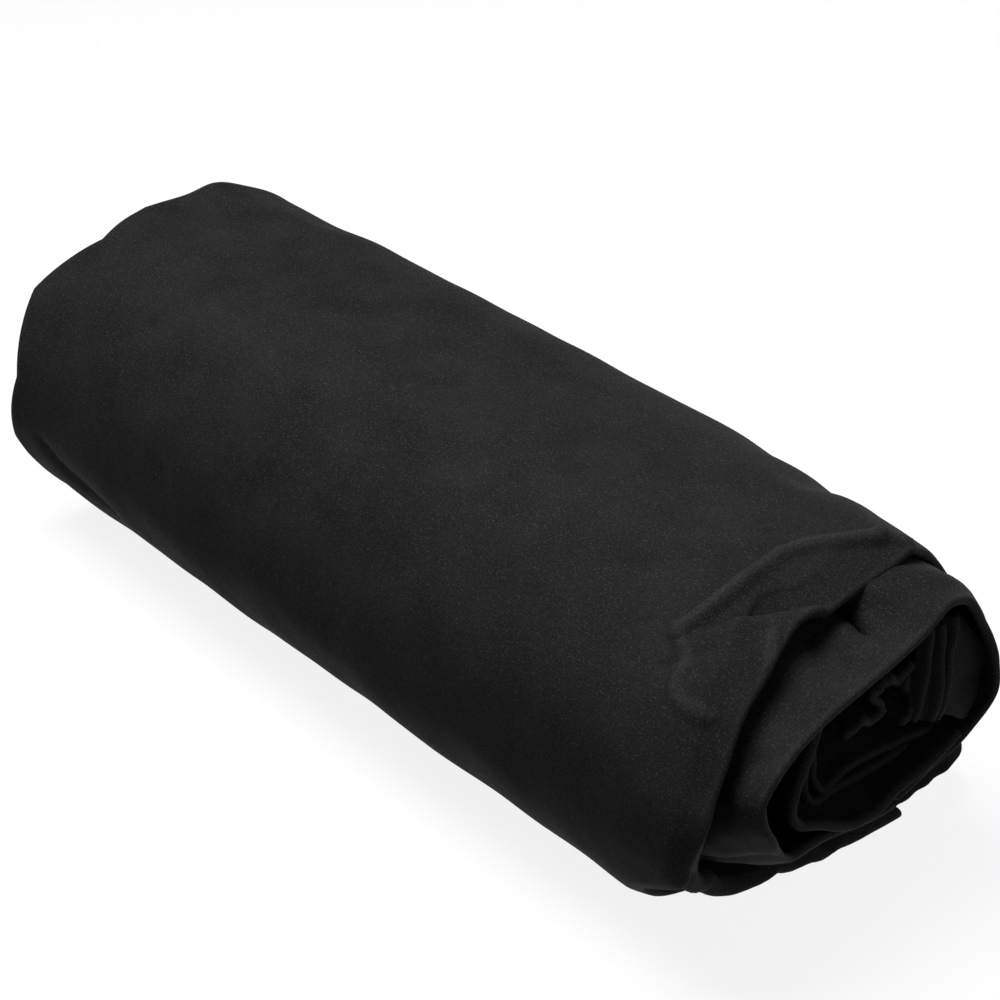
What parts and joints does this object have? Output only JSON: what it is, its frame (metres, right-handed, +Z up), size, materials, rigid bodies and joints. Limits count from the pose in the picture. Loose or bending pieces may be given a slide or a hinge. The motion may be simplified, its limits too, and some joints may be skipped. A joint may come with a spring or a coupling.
{
  "type": "kayak spray skirt",
  "caption": "Black coated-nylon kayak spray skirt put away as a loose roll: folded deck strip, hemmed shock cord, waist tunnel tucked inside and a free end with a cord lock.",
  "frame": {"origin": "middle of the whole object's footprint, on the surface that it lies on", "axes": "+X along the roll's axis towards the end where the inner turns stand out, +Y towards the free end at the back, +Z up"},
  "size_m": [0.3734, 0.1774, 0.1156],
  "materials": {
    "deck_cloth": "coated woven nylon, satin, fine crease marks",
    "hem_cloth": "doubled coated nylon, sewn",
    "tunnel_cloth": "stretch cloth, matte",
    "elastic": "ribbed knitted elastic",
    "seam_tape": "bonded tape, smooth",
    "webbing": "woven polyester webbing",
    "shock_cord": "braided cover over rubber",
    "moulded_nylon": "fine grained moulding",
    "spring_wire": "plain wire"
  },
  "bodies": {
    "roll": {"deck_panel": "deck_cloth", "rim_hem": "hem_cloth", "rim_shock_cord": "shock_cord", "waist_tunnel": "tunnel_cloth", "waist_elastic": "elastic", "tunnel_seam_tape": "seam_tape", "suspender_left": "webbing", "suspender_right": "webbing", "suspender_patches": "webbing", "grab_loop": "webbing"},
    "free_end": {"deck_flap": "deck_cloth", "flap_rim_hem": "hem_cloth", "flap_shock_cord": "shock_cord", "cord_lock_body": "moulded_nylon", "cord_lock_spring": "spring_wire", "cord_end_stop": "moulded_nylon"},
    "plunger": {"cord_lock_plunger": "moulded_nylon"},
    "ladder_left": {"ladder_lock_left": "moulded_nylon"},
    "ladder_right": {"ladder_lock_right": "moulded_nylon"}
  },
  "joints": [
    {"name": "free_end_turn", "type": "hinge", "parent": "roll", "child": "free_end", "pos_m": [-0.00825, -0.00439, 0.0006], "axis": [1, 0, 0], "range_deg": [-8, 12]},
    {"name": "cord_lock_press", "type": "slide", "parent": "free_end", "child": "plunger", "axis": [-1, 0, 0], "range_m": [0, 0.0028], "stiffness_N_per_m": 400, "springref_m": -0.003, "deforming": ["cord_lock_spring"]},
    {"name": "ladder_left_slide", "type": "slide", "parent": "roll", "child": "ladder_left", "axis": [0, 1, 0], "range_m": [-0.003, 0.003]},
    {"name": "ladder_right_slide", "type": "slide", "parent": "roll", "child": "ladder_right", "axis": [0, 1, 0], "range_m": [-0.003, 0.003]}
  ]
}
